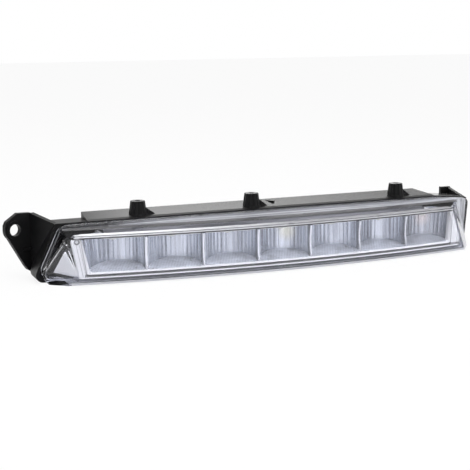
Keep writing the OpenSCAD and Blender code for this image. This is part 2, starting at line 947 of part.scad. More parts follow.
module housing() {
  color([0.07, 0.07, 0.075])
    difference() {
      union() {
        difference() {
          union() {
            wall_at(0, house_depth)
              rounded(house_rim, house_radii);
            top_plate();
            web_and_ear();
            for (x = boss_at)
              boss(x);
            plate_rib();
            end_hook();
            plug_outside();
          }
          housing_hollow();
        }
        inner_posts();
      }
      post_holes();
      plug_inside();
      for (i = [-1 : 1])
        pin_slot(i, 0);
      for (i = [0 : 2])
        translate([boss_at[i], boss_y, boss_top - boss_hole_len - i * boss_hole_step])
          cylinder(r = boss_hole_r, h = boss_hole_len + i * boss_hole_step + 1);
      ear_frame()
        translate([-ear_hole_u, 0, ear_hole_z])
          rotate([90, 0, 0])
            cylinder(r = ear_hole_r, h = 20, center = true);
      translate([vent_x, back_y - 5, 0])
        rotate([-90, 0, 0])
          cylinder(r = vent_hole_r, h = 8);
    }
}

module reflector_screws() {
  color([0.65, 0.65, 0.68])
    for (x = tab_at)
      translate([x, 0.4, 0])
        rotate([90, 0, 0])
          screw(8, 1.3);
}

// Connector pieces

module contact_pin(i) {
  color([0.85, 0.7, 0.35])
    translate([plug_x + i * pin_pitch - pin_w / 2, driver_y - 1, -pin_t / 2])
      cube([pin_w, back_y + plug_depth - pin_recess - driver_y + 1, pin_t]);
}

module connector_seal() {
  color([0.75, 0.3, 0.12])
    translate([plug_x - plug_w / 2, back_y, -plug_h / 2])
      difference() {
        cube([plug_w, 1.6, plug_h]);
        translate([1.4, -1, 1.4])
          cube([plug_w - 2.8, 4, plug_h - 2.8]);
      }
}

// Vent pieces

module vent_place() {
  translate([vent_x, back_y, 0])
    rotate([-90, 0, 0])
      children();
}

module vent_cap() {
  color([0.1, 0.1, 0.105])
    vent_place()
      difference() {
        union() {
          cylinder(r = vent_r, h = vent_h - 0.8);
          translate([0, 0, vent_h - 0.9])
            cylinder(r1 = vent_r, r2 = vent_r - 0.9, h = 0.9);
        }
        translate([0, 0, -1])
          cylinder(r = vent_r - 1.4, h = 1 + cap_recess);
        for (a = [0 : 60 : 300])
          rotate([0, 0, a])
            translate([vent_r - 3, -0.8, -1])
              cube([6, 1.6, 1 + 0.8]);
      }
}

module vent_membrane() {
  color([0.9, 0.9, 0.88])
    vent_place()
      cylinder(r = vent_r - 1.6, h = 0.3);
}

// moves a piece from the lamp's own frame into the row frame
module in_row() {
  translate([-hole_x, -hole_y, -ear_hole_z])
    children();
}

in_row() housing();
in_row() outer_lens();
in_row() seal_bead();
in_row() bezel();
in_row() reflector();
in_row() light_board();
in_row() thermal_pad();
in_row() heat_sink();
in_row() led(0);  // led_1
in_row() led(1);  // led_2
in_row() led(2);  // led_3
in_row() led(3);  // led_4
in_row() led(4);  // led_5
in_row() led(5);  // led_6
in_row() led(6);  // led_7
in_row() board_screws();
in_row() reflector_screws();
in_row() bezel_screw();
in_row() driver_board();
in_row() driver_screws();
in_row() driver_chip();
in_row() inductor();
in_row() capacitors();
in_row() resistors();
in_row() protection_diode();
in_row() link_pins();
in_row() contact_pin(-1);  // contact_pin_1
in_row() contact_pin(0);  // contact_pin_2
in_row() contact_pin(1);  // contact_pin_3
in_row() connector_seal();
in_row() vent_cap();
in_row() vent_membrane();
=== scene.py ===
# %% [markdown]
# A daytime running light is a long clear lens welded to a black housing, with a row of
# bright reflector cells behind it. The solids come from the CAD model, and this lesson
# dresses them: the lens, the bezel, the reflector and the cooling strip are made again
# as fine surfaces, and every other piece keeps its solid and gets a worked finish.

# %% The fixed frame
import json
import math

import bmesh
import bpy
import numpy as np
from mathutils import Matrix, Vector


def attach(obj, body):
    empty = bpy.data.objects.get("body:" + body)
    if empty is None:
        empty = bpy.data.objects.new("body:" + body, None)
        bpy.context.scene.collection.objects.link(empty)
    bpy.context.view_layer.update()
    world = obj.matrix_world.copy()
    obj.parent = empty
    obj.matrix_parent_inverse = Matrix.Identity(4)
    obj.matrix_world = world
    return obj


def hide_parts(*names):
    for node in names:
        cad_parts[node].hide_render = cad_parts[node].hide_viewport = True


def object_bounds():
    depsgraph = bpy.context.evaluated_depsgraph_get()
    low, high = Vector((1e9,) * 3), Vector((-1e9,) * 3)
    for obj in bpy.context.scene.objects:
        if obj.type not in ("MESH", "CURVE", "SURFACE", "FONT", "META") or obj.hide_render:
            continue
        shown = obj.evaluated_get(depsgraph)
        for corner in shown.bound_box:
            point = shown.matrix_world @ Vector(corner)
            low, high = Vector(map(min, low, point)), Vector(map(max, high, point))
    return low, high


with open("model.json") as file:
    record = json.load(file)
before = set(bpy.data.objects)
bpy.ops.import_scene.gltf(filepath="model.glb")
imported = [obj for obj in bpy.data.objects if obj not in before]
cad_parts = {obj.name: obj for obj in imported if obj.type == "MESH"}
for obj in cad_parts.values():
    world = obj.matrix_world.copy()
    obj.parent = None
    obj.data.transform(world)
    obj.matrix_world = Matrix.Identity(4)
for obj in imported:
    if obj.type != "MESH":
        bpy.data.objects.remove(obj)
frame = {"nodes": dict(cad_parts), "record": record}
cad_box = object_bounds()
print("CAD nodes:", len(frame["nodes"]), "box:", cad_box)

# %% [markdown]
# All shapes are worked out in millimetres from the middle of the lamp's rim, because the
# drawing's sizes are given that way: x runs along the lamp, minus y is the way the light
# shines and z is up. One function moves the points to the shared frame, in metres, and
# three more give one coordinate each, for the edges of bands in the materials.

# %% From lamp millimetres to the shared frame
ORIGIN = np.array([143.978, -16.458, -11.4])


def placed(points):
    """Points in lamp millimetres, plus the origin's offset, divided by a thousand."""
    return (np.asarray(points, float) + ORIGIN) / 1000


def at_x(value):
    """Shared x in metres of a place along the lamp in mm."""
    return float(placed([value, 0, 0])[0])


def at_y(value):
    """Shared y in metres of a depth in mm."""
    return float(placed([0, value, 0])[1])


def at_z(value):
    """Shared z in metres of a height in mm."""
    return float(placed([0, 0, value])[2])


print("middle of the rim in metres:", placed([0, 0, 0]).round(4))

# %% [markdown]
# The photograph was measured and a camera fitted to it. It stands to the left of the lamp
# and a little above it, about 65 cm away, with a long lens, so the far end looks only a
# little smaller than the near one.

# %% Camera
YAW, RISE, ROLL = math.radians(22.156), math.radians(10.465), math.radians(-0.532)
FOCAL_PX, FRAME_PX, SENSOR = 1125.19, 470, 36
CAMERA_AT = (-260.4, -590.2, 119.3)
forward = np.array([math.sin(YAW) * math.cos(RISE), math.cos(YAW) * math.cos(RISE), -math.sin(RISE)])
level = np.array([math.cos(YAW), -math.sin(YAW), 0])
upright = np.cross(level, forward)
right = math.cos(ROLL) * level + math.sin(ROLL) * upright
up = -math.sin(ROLL) * level + math.cos(ROLL) * upright

camera = bpy.data.objects.new("camera", bpy.data.cameras.new("camera"))
camera.data.sensor_width = SENSOR
camera.data.lens = SENSOR * FOCAL_PX / FRAME_PX
camera.data.clip_start = 0.01
turn = Matrix([[*row] for row in np.column_stack([right, up, -forward])]).to_4x4()
camera.matrix_world = Matrix.Translation(placed(CAMERA_AT)) @ turn
bpy.context.scene.collection.objects.link(camera)
bpy.context.scene.camera = camera
bpy.context.scene.view_settings.view_transform = "Standard"
print("camera lens", round(camera.data.lens, 1), "mm")

# %% [markdown]
# Shader nodes are wordy in Python. A small class holds one output socket and lets sums
# and products of sockets be written as plain expressions. Its other methods add any node,
# settings first and then sockets, and take a vector apart. Below it stand the words that
# the finishes are written in, such as fade, between and largest. In a material a place is
# given in shared-frame metres, and a depth behind the arch in mm.


# %% Expressions on shader sockets
class Wire:
    """One output socket of a shader node. Arithmetic on wires adds Math nodes."""

    def __init__(self, tree, socket=None):
        self.tree, self.socket = tree, socket

    def node(self, kind, settings=(), sockets=(), out=0):
        """Adds a shader node, sets its settings, then sets or links its sockets."""
        made = self.tree.nodes.new("ShaderNode" + kind)
        for key, value in dict(settings).items():
            if key == "stops":
                stops = made.color_ramp.elements
                while len(stops) < len(value):
                    stops.new(0.5)
                for stop, (position, colour) in zip(stops, value):
                    stop.position, stop.color = position, colour
            else:
                setattr(made, key, value)
        for key, value in dict(sockets).items():
            if isinstance(value, Wire):
                self.tree.links.new(value.socket, made.inputs[key])
            else:
                made.inputs[key].default_value = value
        return Wire(self.tree, made.outputs[out])

    def maths(self, operation, *values):
        """Adds a Math node that works on the given values."""
        return self.node("Math", {"operation": operation}, dict(enumerate(values)))

    def parts(self):
        """x, y and z of this vector, from one Separate node."""
        apart = self.node("SeparateXYZ", {}, {"Vector": self}).socket.node
        return [Wire(self.tree, socket) for socket in apart.outputs]

    def __add__(self, other):
        return self.maths("ADD", self, other)

    def __sub__(self, other):
        return self.maths("SUBTRACT", self, other)

    def __rsub__(self, other):
        return self.maths("SUBTRACT", other, self)

    def __mul__(self, other):
        return self.maths("MULTIPLY", self, other)

    def __gt__(self, other):
        return self.maths("GREATER_THAN", self, other)

    def __lt__(self, other):
        return self.maths("LESS_THAN", self, other)

    __radd__, __rmul__ = __add__, __mul__


def finish(name, **constants):
    """A new material with one Principled node whose constant sockets are set, and its wire."""
    material = bpy.data.materials.new(name)
    material.use_nodes = True
    tree = material.node_tree
    shader = tree.nodes["Principled BSDF"]
    for key, value in constants.items():
        socket = shader.inputs[key.replace("_", " ").title().replace("Ior", "IOR")]
        socket.default_value = (*value, 1) if isinstance(value, tuple) else value
    return material, shader, Wire(tree)


def link(wire, shader, socket):
    """Joins the wire to one input of the shader."""
    wire.tree.links.new(wire.socket, shader.inputs[socket])


def show(wire, *shaders, share):
    """The material's surface becomes the first shader, turning into the second by share."""
    ends = [end if isinstance(end, Wire) else Wire(wire.tree, end.outputs[0]) for end in shaders]
    mixed = wire.node("MixShader", {}, {0: share, 1: ends[0], 2: ends[1]})
    wire.tree.links.new(mixed.socket, wire.tree.nodes["Material Output"].inputs["Surface"])


def fade(wire, value, start, end, low=0.0, high=1.0, smooth=False):
    """Runs from low to high while value goes from start to end, and stays level beyond."""
    settings = {"interpolation_type": "SMOOTHSTEP"} if smooth else {}
    return wire.node("MapRange", settings, {"Value": value, 1: start, 2: end, 3: low, 4: high})


def between(value, low, high):
    """1 where the wire lies between low and high, else 0."""
    return (value > low) * (value < high)


def largest(first, *others):
    """The largest of several wires: Maximum nodes in a chain."""
    for other in others:
        first = first.maths("MAXIMUM", first, other)
    return first


def vector_maths(wire, operation, *values, out=0):
    """Adds a Vector Math node; out=1 gives a length instead of a vector."""
    return wire.node("VectorMath", {"operation": operation}, dict(enumerate(values)), out=out)


def object_spot(wire):
    """Object coordinates of the shaded spot: shared-frame metres, as no piece is moved."""
    return wire.node("TexCoord", out=3)


def facing_up(wire):
    """Upward part of the surface's normal: 1 on a level face, 0 on an upright one."""
    return wire.node("NewGeometry", out=1).parts()[2]


def blend_colour(wire, share, first, second):
    """Colour between first and second by share, each a colour or a wire."""
    colours = [c if isinstance(c, Wire) else (*c, 1) for c in (first, second)]
    return wire.node("Mix", {"data_type": "RGBA"}, {0: share, 6: colours[0], 7: colours[1]}, out=2)


def grain(wire, scale, stretch=(1, 1, 1), detail=3.0, rough=0.6):
    """Noise on Object coordinates, stretched, between 0 and 1."""
    place = wire.node("Mapping", {}, {"Vector": object_spot(wire), "Scale": stretch})
    return wire.node("TexNoise", {}, {"Vector": place, "Scale": scale, "Detail": detail,
                                      "Roughness": rough})


def bump(wire, height, depth, shader, strength=1.0):
    """Height between 0 and 1 raises the surface by up to depth metres."""
    raised = wire.node("Bump", {}, {"Height": height, "Strength": strength, "Distance": depth})
    link(raised, shader, "Normal")


def dress(node_object, material):
    """The node's solid gets this material as its only one."""
    node_object.data.materials.clear()
    node_object.data.materials.append(material)


print("words for the finishes:", [f.__name__ for f in (fade, between, largest, grain, bump, dress)])

# %% [markdown]
# The housing is one moulding in black plastic. The mould was spark eroded, which leaves a
# very fine matt grain. Fine noise drives roughness and bump, and a sine wave round each
# screw boss raises its flutes. At a flat angle the grain mirrors the bright room, so the
# top plate looks grey. A coat gives it that sheen, on level faces seen at a flat angle,
# and less of it towards the left end.

# %% Black moulded plastic
BOSS_X, BOSS_Y = (-76.4, -7.4, 88.6), 5.4
FLUTES, FLUTED_R, FLUTE_FOOT, FLUTE_HIGH = 11, 0.0056, 0.0062, 0.0005
PLATE_FRONT, LEVEL = 2.5, 0.8
black_plastic, shader, w = finish("black_moulded_plastic", roughness=0.36, specular_ior_level=0.12,
                                  coat_roughness=0.18, coat_ior=2.3)
fine, wide = grain(w, 1400, detail=4), grain(w, 45)
link(blend_colour(w, wide, (0.004, 0.004, 0.0045), (0.009, 0.009, 0.0095)), shader, "Base Color")
link(0.28 + 0.14 * wide, shader, "Roughness")
spot = object_spot(w)
flutes = 0.0
for boss_x in BOSS_X:
    x, y, _ = placed([boss_x, BOSS_Y, 0])
    side, deep, high = vector_maths(w, "SUBTRACT", spot, (x, y, 0)).parts()
    away = w.maths("SQRT", side * side + deep * deep)
    wave = w.maths("SINE", w.maths("ARCTAN2", deep, side) * FLUTES)
    flutes = wave * (away < FLUTED_R) * (high > FLUTE_FOOT) + flutes
bump(w, fine * 0.06 + flutes, FLUTE_HIGH, shader, 0.8)

sheen = fade(w, w.node("LayerWeight", {}, {"Blend": 0.5}, out=1), 0.35, 0.62, smooth=True)
along, behind, _ = spot.parts()
on_plate = (facing_up(w) > LEVEL) * (behind > at_y(PLATE_FRONT))
lit_part = fade(w, along, at_x(-112), at_x(-72))
right_part = fade(w, along, at_x(-72), at_x(30))
link(sheen * on_plate * (0.06 + 0.56 * lit_part + 0.4 * right_part), shader, "Coat Weight")
dress(frame["nodes"]["housing"], black_plastic)
print("housing finish set, with", FLUTES, "flutes round each of", len(BOSS_X), "bosses")

# %% [markdown]
# Surfaces are grids: whole arrays of points, joined by quads. Two helpers turn grids into
# faces, and one puts points and faces into a mesh, merges equal points, turns the faces
# outwards and hangs the finished piece on the frame.


# %% Grids and pieces
def grid_faces(rows, columns, start=0, closed=False):
    """Quads between neighbours of a rows by columns grid; closed joins its last column to the first."""
    a = np.arange(rows * columns).reshape(rows, columns) + start
    b = np.roll(a, -1, axis=1) if closed else a[:, 1:]
    c = a if closed else a[:, :-1]
    return np.stack([c[:-1], b[:-1], b[1:], c[1:]], axis=-1).reshape(-1, 4)


def piece(name, grids, material, stands_for=(), smooth=35, bevel=0.0, weld=0.00002):
    """Grids of lamp points, each with a closed flag, become one welded piece on the lamp."""
    points, faces, count = [], [], 0
    for grid, closed in grids:
        rows, columns = grid.shape[:2]
        points.append(placed(grid.reshape(-1, 3)))
        faces.append(grid_faces(rows, columns, count, closed))
        count += rows * columns
    mesh = bpy.data.meshes.new(name)
    mesh.from_pydata(np.concatenate(points), [], np.concatenate(faces))
    work = bmesh.new()
    work.from_mesh(mesh)
    bmesh.ops.remove_doubles(work, verts=work.verts, dist=weld)
    bmesh.ops.dissolve_degenerate(work, dist=weld / 2, edges=work.edges)
    bmesh.ops.recalc_face_normals(work, faces=work.faces)
    loose = sum(1 for e in work.edges if not e.is_manifold)
    work.to_mesh(mesh)
    work.free()
    mesh.shade_smooth()
    mesh.set_sharp_from_angle(angle=math.radians(smooth))
    made = bpy.data.objects.new(name, mesh)
    bpy.context.scene.collection.objects.link(made)
    mesh.materials.append(material)
    if bevel:
        edge = made.modifiers.new("edges", "BEVEL")
        edge.width, edge.segments, edge.limit_method = bevel, 2, "ANGLE"
        edge.angle_limit = math.radians(smooth)
    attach(made, "root")
    if stands_for:
        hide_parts(*stands_for)
    print(name, len(mesh.polygons), "faces,", loose, "open edges")
    return made


print("faces of a 3 by 4 grid:", len(grid_faces(3, 4)), "open,", len(grid_faces(3, 4, closed=True)), "closed")

# %% [markdown]
# The lens is one clear moulding. Its front follows an arch in plan, a sloping band joins
# it to the flat top, and slanting planes cut off both ends. Each skin is found from those
# few surfaces, the inner skin from the same ones moved in by the wall.

# %% Sizes of the lens
ARC_R, ARC_X, REACH, WALL = 714.0, 9.0, 29.6, 1.8
FACE_TOP, FLAT_TOP, SLOPE_RUN, RIM_HALF = 11.0, 13.5, 13.0, 15.3
RIM = [(-137.1, -15.3), (133.4, -15.3), (136.0, 13.2), (113.0, 15.3), (-122.3, 15.3)]
RIM_RADII = [6, 3, 3, 3, 6]
RIM_STEP = 0.8
LEFT_FOOT, LEFT_LEAN, LEFT_GROWTH = -137.1, 0.4837, 1.111
RIGHT_FOOT, RIGHT_FOOT_Z, RIGHT_LEAN, RIGHT_GROWTH = 133.4, -16.1, 0.0648, 1.002
CORNER_X, CORNER_LEAN = -131.4, 0.7
SLOPE = math.atan((FLAT_TOP - FACE_TOP) / SLOPE_RUN)


def arch(x, d=0.0):
    """Depth y of the arched front at x, moved in by d: a circle's arc in plan."""
    return -REACH + ARC_R - np.sqrt((ARC_R - d) ** 2 - (np.asarray(x, float) - ARC_X) ** 2)


def behind_arch(wire, spot):
    """Distance in mm behind the arched front: its radius less the distance from its centre."""
    own = vector_maths(wire, "SUBTRACT", spot, tuple(placed([ARC_X, ARC_R - REACH, 0])))
    own = vector_maths(wire, "MULTIPLY", own, (1, 1, 0))
    return ARC_R - vector_maths(wire, "LENGTH", own, out=1) * 1000


def plane_x(y, z, a, b, c, d=0.0, side=1):
    """x at which the plane through a, b and c is met at y and z, moved inwards by d."""
    a, b, c = (np.array(p, float) for p in (a, b, c))
    n = np.cross(b - a, c - a)
    n = n / np.linalg.norm(n)
    return a[0] - (n[1] * (y - a[1]) + n[2] * (z - a[2])) / n[0] + side * d / abs(n[0])


def soft_max(a, b, r):
    """Larger of a and b, with the corner between them rounded over about r."""
    return (a + b + np.sqrt((a - b) ** 2 + r * r)) / 2


LEFT_A = (-124.6, arch(-124.6), FACE_TOP)
LEFT_B = (-117.3, arch(-117.3), -11.8)
LEFT_C = (-132.8, -4, -9)
LIP_B = (-120.8, arch(-120.8), -RIM_HALF)
RIGHT_A = (113.9, arch(113.9), 9.4)
RIGHT_B = (120.3, arch(120.3), -9)
RIGHT_C = (133.3, -3, -6)


def left_end(y, z, d):
    """x of the left end: the rim's slant, its cut corner or an end plane, the furthest in."""
    slant = LEFT_FOOT + (z + RIM_HALF) * LEFT_LEAN + (RIM_STEP + d) * LEFT_GROWTH
    slant = soft_max(slant, CORNER_X - (z + RIM_HALF) * CORNER_LEAN + d, 0.8)
    face = plane_x(y, z, LEFT_A, LEFT_B, LEFT_C, d)
    lip = plane_x(y, z, LEFT_B, LEFT_C, LIP_B, d)
    return soft_max(slant, -soft_max(-face, -lip, 0.3), 0.5)


def right_end(y, z, d):
    """x of the right end: the rim's end or the end plane, whichever is further in."""
    rim = RIGHT_FOOT + (z - RIGHT_FOOT_Z) * RIGHT_LEAN - (RIM_STEP + d) * RIGHT_GROWTH
    face = plane_x(y, z, RIGHT_A, RIGHT_B, RIGHT_C, d, side=-1)
    return -soft_max(-rim, -face, 0.5)


print("left end at mid height", round(float(left_end(-10, 0, 0)), 1))

# %% [markdown]
# A skin is swept from end to end: along each line of the section the ends are found first,
# and the points between them are spread evenly. The ends themselves are ruled between the
# top and the bottom line. The open back edge then runs on through the welding flange and
# the tongue that sits in the housing's groove, so the wall is closed all round.

# %% Lens skins
ALONG, DEPTH, DOWN = 170, 18, 26
COUNTS = [ALONG, DOWN, ALONG, DOWN]
ROUND = 1.2


def section(depth_share, d, back, x, top):
    """Depth and height of the section's top or bottom line at x, by share of the way back."""
    run = back - arch(x, d)
    if top:
        first = (FLAT_TOP - d - FACE_TOP + d / math.cos(SLOPE)) / math.tan(SLOPE) - d
        s = np.where(depth_share < 0.5, depth_share * 2 * first,
                     first + (depth_share - 0.5) * 2 * (run - first))
        z = np.minimum(FACE_TOP + (s + d) * math.tan(SLOPE) - d / math.cos(SLOPE), FLAT_TOP - d)
    else:
        first = max(ROUND - d * (2 - math.sqrt(2)), 0.2)
        s = np.where(depth_share < 0.1, depth_share * 10 * first,
                     first + (depth_share - 0.1) / 0.9 * (run - first))
        z = -RIM_HALF + d + np.maximum(first - s, 0)
    return arch(x, d) + s, z


def lens_skin(d, back):
    """Main sweep, left end and right end of the skin moved in by d, up to y = back."""
    u = np.linspace(0, 1, ALONG + 1)[:, None]
    share = np.r_[np.linspace(0, 0.1, 2), np.linspace(0.1, 1, DEPTH)[1:]]
    high = FACE_TOP + d * math.tan(SLOPE) - d / math.cos(SLOPE)
    low = -RIM_HALF + d + max(ROUND - 0.5858 * d, 0.2)
    lines = []
    for part in ("top", "front", "bottom"):
        v = {"top": share[::-1], "front": np.linspace(0, 1, DOWN + 1), "bottom": share}[part][None, :]
        x = np.zeros((ALONG + 1, v.shape[1])) + (u - 0.5) * 240
        for _ in range(8):
            if part == "front":
                z = high + (low - high) * v + 0 * x
                y = arch(x, d)
            else:
                y, z = section(v + 0 * x, d, back, x, part == "top")
            xl, xr = left_end(y, z, d), right_end(y, z, d)
            x = xl + (xr - xl) * u
        lines.append(np.stack([x, y, z], axis=-1))
    main = np.concatenate([lines[0], lines[1][:, 1:], lines[2][:, 1:]], axis=1)
    ends = []
    for row, end in ((0, left_end), (-1, right_end)):
        top, bottom = lines[0][row][::-1], lines[2][row]
        front = lines[1][row]
        v = np.linspace(0, 1, DOWN + 1)[:, None, None]
        patch = top[None] + (bottom - top)[None] * v
        patch[:, 0] = front
        ruled = np.arange(patch.shape[1]) > 0
        patch[..., 0] = np.where(ruled, end(patch[..., 1], patch[..., 2], d), patch[..., 0])
        patch[0], patch[-1] = top, bottom
        ends.append(patch)
    return main, ends[0], ends[1]


def back_loop(main, left, right_):
    """Closed loop of the skin's back edge: along the top, down the right end, back and up."""
    return np.concatenate([main[:, 0], right_[1:, -1], main[::-1, -1][1:], left[::-1, -1][1:-1]])


def spread(side, count):
    """Count points at even steps along a line of points, without its last one."""
    step = np.r_[0, np.cumsum(np.linalg.norm(np.diff(side, axis=0), axis=1))]
    t = np.linspace(0, step[-1], count + 1)[:-1]
    return np.stack([np.interp(t, step, side[:, k]) for k in (0, 1)], axis=1)


def outline(corners, radii, d=0.0, arc=8):
    """Outline with every edge moved in by d and rounded corners, split at the corners' middles."""
    p, n = np.array(corners, float), len(corners)
    edge = np.roll(p, -1, axis=0) - p
    edge /= np.linalg.norm(edge, axis=1)[:, None]
    inward = np.stack([-edge[:, 1], edge[:, 0]], axis=1)
    rounds = []
    for i in range(n):
        a, b = inward[i - 1], inward[i]
        r = max(radii[i] - d, 0.6)
        centre = p[i] + (a + b) * (d + r) / (1 + a @ b)
        t0, t1 = math.atan2(-a[1], -a[0]), math.atan2(-b[1], -b[0])
        t = t0 + ((t1 - t0 + math.pi) % (2 * math.pi) - math.pi) * np.linspace(0, 1, 2 * arc + 1)
        rounds.append(centre + r * np.stack([np.cos(t), np.sin(t)], axis=1))
    return rounds


def rim_loop(d, y):
    """The rim's outline at depth y, with as many points on each side as the skin's back edge."""
    bl, br, tr, shoulder, tl = outline(RIM, RIM_RADII, d)
    half = len(tl) // 2
    sides = [np.concatenate([tl[:half + 1][::-1], shoulder[::-1], tr[half:][::-1]]),
             np.concatenate([tr[:half + 1][::-1], br[half:][::-1]]),
             np.concatenate([br[:half + 1][::-1], bl[half:][::-1]]),
             np.concatenate([bl[:half + 1][::-1], tl[half:][::-1]])]
    xz = np.concatenate([spread(side, count) for side, count in zip(sides, COUNTS)])
    return np.stack([xz[:, 0], np.full(len(xz), float(y)), xz[:, 1]], axis=1)


outer, inner = lens_skin(0.0, -3.0), lens_skin(WALL, -0.5)
FLANGE = ((0.3, -3), (0, -2.7), (0, 0), (1, 0), (1, 3), (2.6, 3), (2.6, -0.5))
flange = [back_loop(*outer), *(rim_loop(d, y) for d, y in FLANGE), back_loop(*inner)]
print("skin grids", [g.shape[:2] for g in outer], "and", len(flange), "flange loops")

# %% [markdown]
# Clear plastic bends light, so the back of the lens looks striped where its edges gather
# the dark housing and the bright room. A real refracting wall gives part of those lines.
# Painted reflections give the rest: a whitish layer, mixed into the clear plastic, paints
# light streaks along the flat top by a ramp from the crease back to the rim, under the
# lower edge, and over the far end in upright streaks. Along the crease, and on the flat
# top's left end, the layer turns dark as a painted reflection of the dark housing. Shadow
# rays pass straight through, so that the cells behind the lens are lit as by day.

# %% Clear plastic and the lens
PAINTED_STREAK_LIGHT, PAINTED_DARK_REFLECTION, MOST_PAINTED_STREAK = (0.62, 0.63, 0.68), (0.03, 0.03, 0.035), 0.9
clear, shader, w = finish("clear_plastic", base_color=(0.93, 0.935, 0.985), roughness=0.015,
                          transmission_weight=1.0, ior=1.45)
# Painted reflections: a whitish layer, mixed in by a share, paints light streaks for the bright room and dark
# bands for the dark housing.
painted_streak_layer = w.tree.nodes.new("ShaderNodeBsdfPrincipled")
painted_streak_layer.inputs["Roughness"].default_value = 0.35
spot = object_spot(w)
along, behind, high = spot.parts()

over_top = behind_arch(w, spot) - SLOPE_RUN
to_rim = (at_y(-3) - behind) * 1000
share = w.maths("DIVIDE", over_top, w.maths("MAXIMUM", over_top + to_rim, 0.5))
levels = [(0.0, 0.05), (0.22, 0.1), (0.36, 0.7), (0.5, 0.8), (0.68, 0.45), (0.86, 0.95)]
bands = w.node("ValToRGB", {"stops": [(t, (v, v, v, 1)) for t, v in levels]}, {0: share}).parts()[0]
streak_noise = fade(w, grain(w, 900, (0.02, 1, 1), detail=2), 0.4, 0.6, 0.25, 0.75)
step = fade(w, high, at_z(13.6), at_z(15.0), 1.0, 0.1)
lit_part = fade(w, along, at_x(-96), at_x(-84), 0.1, 1.0)
boost = fade(w, along, at_x(-84), at_x(-50), 0.5, 1.0)
upper = (high > at_z(13.46)) * bands * step * (streak_noise + 0.35) * lit_part * boost

lower = (high < at_z(-13.8)) * (behind < at_y(-3.2)) * (along > at_x(-121))
streaks = fade(w, grain(w, 500, (1, 1, 0.06), detail=2), 0.42, 0.58, 0.45, 0.95)
rim_side = along - (high - at_z(-16.1)) * 0.065
far_end = (along > at_x(124)) * (rim_side < at_x(132)) * (high < at_z(13.3)) * streaks
# Painted dark reflection of the housing, along the crease and on the flat top's left end.
crease = fade(w, w.maths("ABSOLUTE", over_top + 0.4), 1.6, 3.0, 0.72, 0.0, smooth=True)
dark_left = fade(w, along, at_x(-98), at_x(-90), 0.88, 0.0)
dark = largest(crease * (high > at_z(11.95)),
               dark_left * (high > at_z(13.3)) * (behind < at_y(-3)))
link(blend_colour(w, dark > 0.05, PAINTED_STREAK_LIGHT, PAINTED_DARK_REFLECTION), painted_streak_layer, "Base Color")
painted_streaks = largest(upper * (dark < 0.05), lower * 0.8, far_end, dark)
body = w.node("MixShader", {}, {0: w.maths("MINIMUM", painted_streaks, MOST_PAINTED_STREAK),
                                1: Wire(w.tree, shader.outputs[0]), 2: Wire(w.tree, painted_streak_layer.outputs[0])})
through = w.node("BsdfTransparent", {}, {"Color": (0.96, 0.97, 1, 1)})
show(w, body, through, share=w.node("LightPath", out=1))
piece("clear_lens", [(g, False) for g in (*outer, *inner)] + [(np.stack(flange), True)],
      clear, ["outer_lens"], bevel=0.00035)

# %% [markdown]
# The bezel is a pale frame right behind the lens. Its front lies on the same arch, a bevel
# leads from a groove into the window, and lips run back from its edges. The frame is a
# ring: closed outlines with matching points, carried from the outer lip over the groove
# to the window's lip. A Solidify modifier gives the sheet its wall.


# %% Ring outlines on the arch
CLEAR_OF_WALL, FRONT_D, GROOVE_LONG, GROOVE_SHORT = 2.5, 2.45, 4.9, 3.5


def four_sides(corners, radii, counts):
    """Closed outline from four corners, bottom left first, with a set count of points a side."""
    bl, br, tr, tl = outline(corners, radii)
    half = len(tl) // 2
    pairs = ((tl, tr), (tr, br), (br, bl), (bl, tl))
    sides = [np.concatenate([a[:half + 1][::-1], b[half:][::-1]]) for a, b in pairs]
    return np.concatenate([spread(side, count) for side, count in zip(sides, counts)])


def on_arch(xz, d):
    """The flat outline laid on the arch at depth d, kept clear of the lens's end walls."""
    x, z = xz[:, 0], xz[:, 1]
    for _ in range(4):
        y = arch(x, d)
        x = np.clip(x, left_end(y, z, CLEAR_OF_WALL), right_end(y, z, CLEAR_OF_WALL))
    return np.stack([x, arch(x, d), z], axis=1)


SIDES = [160, 18, 160, 18]
window = four_sides([(-110.1, -9.0), (110.7, -9.0), (112.6, 9.3), (-114.4, 9.3)], [0.8] * 4, SIDES)
groove_in = four_sides([(-112.2, -10.0), (112.0, -10.0), (113.2, 9.5), (-115.2, 9.5)], [0.9] * 4, SIDES)
groove_out = four_sides([(-112.8, -11.3), (112.5, -11.3), (113.7, 10.05), (-115.8, 10.05)],
                        [0.9] * 4, SIDES)
rim_of_bezel = four_sides([(-116.5, -12.2), (119.6, -12.2), (114.6, 10.5), (-120.6, 10.5)],
                          [0.8, 0.8, 0.8, 3.2], SIDES)
inner_edge = rim_of_bezel + (groove_out - rim_of_bezel) * 0.12
long_side = (np.arange(len(window)) % (SIDES[0] + SIDES[1])) < SIDES[0]
groove_d = np.where(long_side, GROOVE_LONG, GROOVE_SHORT)
ring = [on_arch(rim_of_bezel, 5.0), on_arch(rim_of_bezel, 3.0), on_arch(inner_edge, FRONT_D),
        on_arch(groove_out, FRONT_D), on_arch(groove_out, groove_d),
        on_arch(groove_in, groove_d), on_arch(groove_in, 2.6),
        on_arch(window + (groove_in - window) * 0.1, 3.9), on_arch(window, 4.8), on_arch(window, 6.4)]
print("window", window.min(0).round(1), window.max(0).round(1), "in a ring of", len(ring), "outlines")

# %% [markdown]
# The bezel is moulded in a pale plastic with a soft gloss. What lies in shade is toned
# darker: the seam over the window, the furrow under it, two fine lines on the left panel,
# and the top edge under the lens. Two thin flat wings close the space under the slanting
# ends of the lens, and lie along its end planes.

